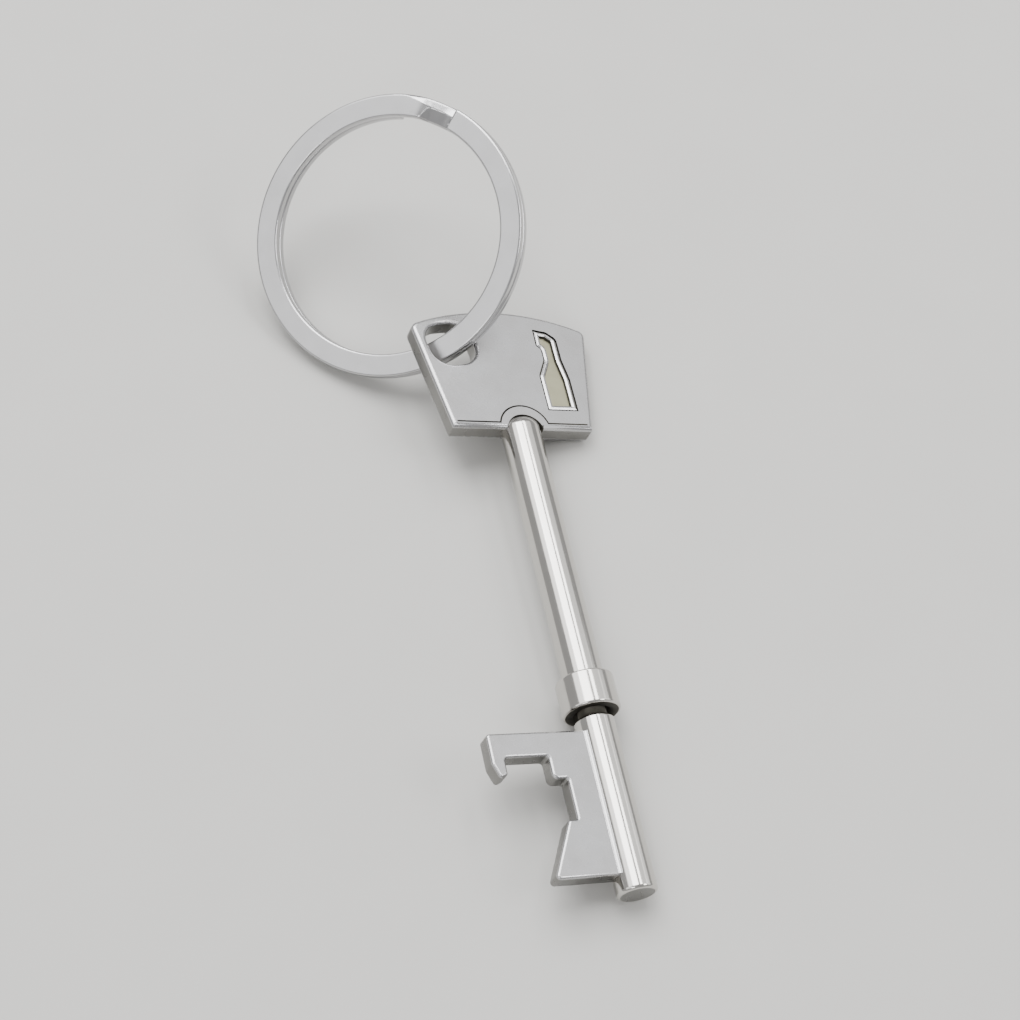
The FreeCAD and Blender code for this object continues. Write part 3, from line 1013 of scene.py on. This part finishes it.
@dataclass
class SplitRing:
    """Flat wire wound in two turns, with the ramp between them and its two cut ends.

    The ends, the ramp and the pressed slopes are set by angles in degrees.
    """

    diameter: float = 29.98
    wire_width: float = 2.38
    turn_thickness: float = 0.96
    turn_gap: float = 0.07
    edge_round: float = 0.26
    end_round_share: float = 0.6
    face_span: float = 0.74
    face_points: int = 19
    stations: int = 1200
    upper_end: float = 48.5
    ramp_low: float = 49.5
    ramp_high: float = 67.0
    lower_end: float = 74.0
    ramp_lag: float = 2.0
    facet_start: float = 74.0
    facet_full: float = 60.0
    facet_share: float = 0.38
    facet_lean: float = 27.0
    wedge_start: float = 63.5
    wedge_full: float = 60.0
    wedge_lean: float = 20.0
    facet_fade: float = 6.0

    def section(self) -> np.ndarray:
        """Works out the wire's section: a rounded rectangle with more points on its upper side.

        Returns:
            (n, 2) rows of the distance outwards from the wire's middle and the height.
        """
        half_w = self.wire_width / 2.0
        half_t = self.turn_thickness / 2.0
        corner = self.edge_round
        across = np.linspace(self.face_span, -self.face_span, self.face_points)
        return round_corners([
            (-half_w, -half_t, corner),
            (half_w, -half_t, corner),
            (half_w, half_t, corner),
            *[(place * half_w, half_t, 0.0) for place in across],
            (-half_w, half_t, corner),
        ], steps=5)

    def _sunk(self, angle: np.ndarray, outward: np.ndarray) -> np.ndarray:
        """Works out how far the ramp's upper face is pressed down.

        The press leaves two slopes: an outer one that widens from the outer edge, and an inner one
        that starts later and runs out to meet it. Each sinks by tan(lean) times the distance from
        its upper edge, and both fade out under the upper turn.

        Args:
            angle: (n, 1) degrees along the winding.
            outward: (1, m) places across the wire, 0 at the inner edge and 1 at the outer one.

        Returns:
            (n, m) millimetres.
        """
        fade = np.clip((angle - self.ramp_low + self.facet_fade) / self.facet_fade, 0.0, 1.0)
        outer_span = self.facet_start - self.facet_full
        inner_span = self.wedge_start - self.wedge_full
        outer = self.facet_share * np.clip((self.facet_start - angle) / outer_span, 0.0, 1.0)
        inner = (1.0 - outer) * np.clip((self.wedge_start - angle) / inner_span, 0.0, 1.0)
        outer_sink = math.tan(math.radians(self.facet_lean)) * np.clip(outward - 1.0 + outer, 0.0, None)
        inner_sink = math.tan(math.radians(self.wedge_lean)) * np.clip(inner - outward, 0.0, None)
        return fade * self.wire_width * (outer_sink + inner_sink)

    def _end_inset(self, angle: np.ndarray) -> np.ndarray:
        """Works out how far the section shrinks towards a cut end, as a quarter circle.

        Args:
            angle: (n, 1) degrees along the winding.

        Returns:
            (n, 1) millimetres.
        """
        radius = self.edge_round * self.end_round_share
        reach = radius / (self.diameter / 2.0) * 180.0 / math.pi
        from_end = np.minimum(angle[0] - angle, angle - angle[-1])
        ease = np.clip(1.0 - from_end / reach, 0.0, 1.0)
        return radius * (1.0 - np.sqrt(1.0 - ease ** 2))

    def build(self, place: Place, finishes: Finishes) -> bpy.types.Object:
        """Builds the ring by carrying the section along the winding.

        The angle a falls evenly from the upper cut end to the lower one. The height is +h on the
        upper turn, -h on the lower one and h cos(pi s) on the ramp, where s runs from 0 to 1 and
        starts later at the outer edge than at the inner edge, which twists the ramp a little.

        Args:
            place: where the ring's own frame lies.
            finishes: the object's materials.

        Returns:
            The ring.
        """
        section = self.section()
        across, up = section[:, 0][None, :], section[:, 1][None, :]
        angle = np.linspace(360.0 + self.upper_end, self.lower_end - 360.0, self.stations)[:, None]
        inset = self._end_inset(angle)
        outward = across / self.wire_width + 0.5
        upward = up / self.turn_thickness + 0.5
        span = self.ramp_high - self.ramp_low - self.ramp_lag
        share = np.clip((self.ramp_high - self.ramp_lag * outward - angle) / span, 0.0, 1.0)
        rise = (self.turn_thickness + self.turn_gap) / 2.0
        height = rise * np.cos(math.pi * share) + up * (1.0 - inset / (self.turn_thickness / 2.0))
        height = height - upward * self._sunk(angle, outward)
        middle = self.diameter / 2.0 - self.wire_width / 2.0
        radius = middle + across * (1.0 - inset / (self.wire_width / 2.0))
        turn = np.radians(angle)
        surface = Surface()
        rows = surface.add_grid(np.stack([radius * np.cos(turn), radius * np.sin(turn), height], axis=-1))
        first, last = float(turn[0, 0]), float(turn[-1, 0])
        surface.fill([rows[0]], (-math.sin(first), math.cos(first), 0.0))
        surface.fill([rows[-1]], (math.sin(last), -math.cos(last), 0.0))
        return surface.build("split_ring_wire", place, {Coat.FACE: finishes.ring})


@dataclass
class Opener:
    """The whole object: the key's pieces and the ring."""

    finishes: Finishes
    bow: Bow = field(default_factory=Bow)
    shank: Shank = field(default_factory=Shank)
    bit: Bit = field(default_factory=Bit)
    ring: SplitRing = field(default_factory=SplitRing)

    def key_place(self) -> Place:
        """Works out where the key's own frame lies: its axis from the barrel's end, its turn from the jaw.

        Returns:
            The key's place.
        """
        end, end_axis = mount("barrel_end")
        jaw, _ = mount("cap_jaw")
        y_axis = -end_axis
        towards_jaw = jaw - end
        x_axis = -unit(towards_jaw - y_axis * (y_axis @ towards_jaw))
        z_axis = np.cross(x_axis, y_axis)
        origin = end - y_axis * self.bit.foot() * MM
        return Place(origin, np.column_stack([x_axis, y_axis, z_axis]))

    def ring_place(self) -> Place:
        """Works out where the ring's own frame lies: in its loop, with +X square to the shared +Y.

        Returns:
            The ring's place.
        """
        centre, z_axis = mount("ring_loop")
        x_axis = unit(np.cross([0.0, 1.0, 0.0], z_axis))
        return Place(centre, np.column_stack([x_axis, np.cross(z_axis, x_axis), z_axis]))

    def build(self) -> None:
        """Builds every piece, hides the CAD node that it stands for and ties the piece to its body."""
        key = self.key_place()
        fine = self.finishes
        pieces = [
            (self.bow.build(key, fine), "bow_plate", Body.KEY, Slot.SATIN),
            (self.shank.build_rod(key, fine), "shank_rod", Body.KEY, Slot.BRIGHT),
            (self.shank.build_collar(key, fine), "collar", Body.KEY, Slot.BRIGHT),
            (self.bit.build_barrel(key, fine), "bit_barrel", Body.KEY, Slot.BRIGHT),
            (self.bit.build_blade(key, fine), "bit_blade", Body.KEY, Slot.SATIN),
            (self.ring.build(self.ring_place(), fine), "split_ring", Body.RING, Slot.RING),
        ]
        for piece, node, body, slot in pieces:
            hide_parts(node)
            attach(piece, body.value)
            LOG.info("%s stands for %s, %d faces", piece.name, node, len(piece.data.polygons))


# ---- Floor, lights and camera ---------------------------------------------------------------


@dataclass(frozen=True)
class Softbox:
    """One soft rectangular lamp that faces the object's middle, with its length along the shank."""

    name: str
    direction: tuple[float, float, float]
    width: float
    length: float
    radiance: float
    along: tuple[float, float, float] = (-0.21, 0.977, 0.026)
    distance: float = 0.8

    def hang(self, target: Vector) -> None:
        """Adds the lamp to the scene, with a power of pi x area x radiance.

        Args:
            target: the point that it faces.
        """
        data = bpy.data.lights.new(self.name, "AREA")
        data.shape = "RECTANGLE"
        data.size = self.width
        data.size_y = self.length
        data.energy = math.pi * self.width * self.length * self.radiance
        back = Vector(self.direction).normalized()
        side = Vector(self.along).cross(back).normalized()
        turn = Matrix((side, back.cross(side), back)).transposed().to_4x4()
        lamp = add_object(self.name, data)
        lamp.matrix_world = Matrix.Translation(target + back * self.distance) @ turn


@dataclass
class Studio:
    """Pale floor, soft lamps and the camera.

    The bright boxes overhead draw the long streaks on the rods and the ring, the wide dim cards
    fill the grey between them, and the lamps at the side and in front catch the bevels.
    """

    floor_size: float = 1.6
    camera_at: tuple[float, float, float] = (-0.00072, -0.10269, 0.16455)
    camera_right: tuple[float, float, float] = (0.9988, 0.0012, 0.0486)
    camera_up: tuple[float, float, float] = (-0.0268, 0.8477, 0.5298)
    camera_nearest: float = 0.01
    focal_length: float = 67.06
    sensor: float = 36.0
    target: tuple[float, float, float] = (0.007, -0.002, 0.004)
    surroundings: float = 0.5
    lamps: tuple[Softbox, ...] = (
        Softbox("overhead_left", (-0.201, 0.397, 0.895), 0.43, 0.65, 8.0),
        Softbox("overhead_far_left", (-0.57, 0.40, 0.71), 0.34, 0.65, 2.6),
        Softbox("overhead_right", (0.245, 0.494, 0.833), 0.14, 0.65, 8.0),
        Softbox("side_right", (0.69, -0.12, 0.70), 0.2, 0.35, 8.0),
        Softbox("card_back_right", (0.56, 0.47, 0.68), 0.42, 0.7, 1.0),
        Softbox("card_right_low", (0.88, 0.19, 0.43), 0.28, 0.65, 1.2),
        Softbox("card_front_left", (-0.66, -0.33, 0.68), 0.5, 0.6, 1.35),
        Softbox("front", (-0.2, -0.72, 0.67), 0.22, 0.22, 7.0),
    )

    def build(self) -> None:
        """Sets up the floor, the lamps, the surroundings and the camera."""
        self._floor()
        for lamp in self.lamps:
            lamp.hang(Vector(self.target))
        self._surroundings()
        self._camera()

    def _floor(self) -> None:
        """Adds the floor at height zero."""
        half = self.floor_size / 2.0
        corners = [(-half, -half, 0.0), (half, -half, 0.0), (half, half, 0.0), (-half, half, 0.0)]
        mesh = bpy.data.meshes.new("floor")
        mesh.from_pydata(corners, [], [(0, 1, 2, 3)])
        mesh.materials.append(PaleBoard().make())
        add_object("floor", mesh)

    def _surroundings(self) -> None:
        """Adds dim, even surroundings that fill the shadows."""
        world = bpy.data.worlds.new("studio")
        world.use_nodes = True
        background = world.node_tree.nodes["Background"]
        background.inputs["Color"].default_value = linear("#FFFFFF")
        background.inputs["Strength"].default_value = self.surroundings
        bpy.context.scene.world = world

    def _camera(self) -> None:
        """Adds the camera from its place and its two axes."""
        data = bpy.data.cameras.new("camera")
        data.lens = self.focal_length
        data.sensor_width = self.sensor
        data.clip_start = self.camera_nearest
        right = Vector(self.camera_right).normalized()
        back = right.cross(Vector(self.camera_up)).normalized()
        turn = Matrix((right, back.cross(right), back)).transposed().to_4x4()
        camera = add_object("camera", data)
        camera.matrix_world = Matrix.Translation(Vector(self.camera_at)) @ turn
        bpy.context.scene.camera = camera


def main() -> None:
    """Builds the object and the studio."""
    logging.basicConfig(level=logging.INFO, format="%(message)s")
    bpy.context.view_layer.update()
    Opener(Finishes()).build()
    Studio().build()


if __name__ == "__main__":
    main()
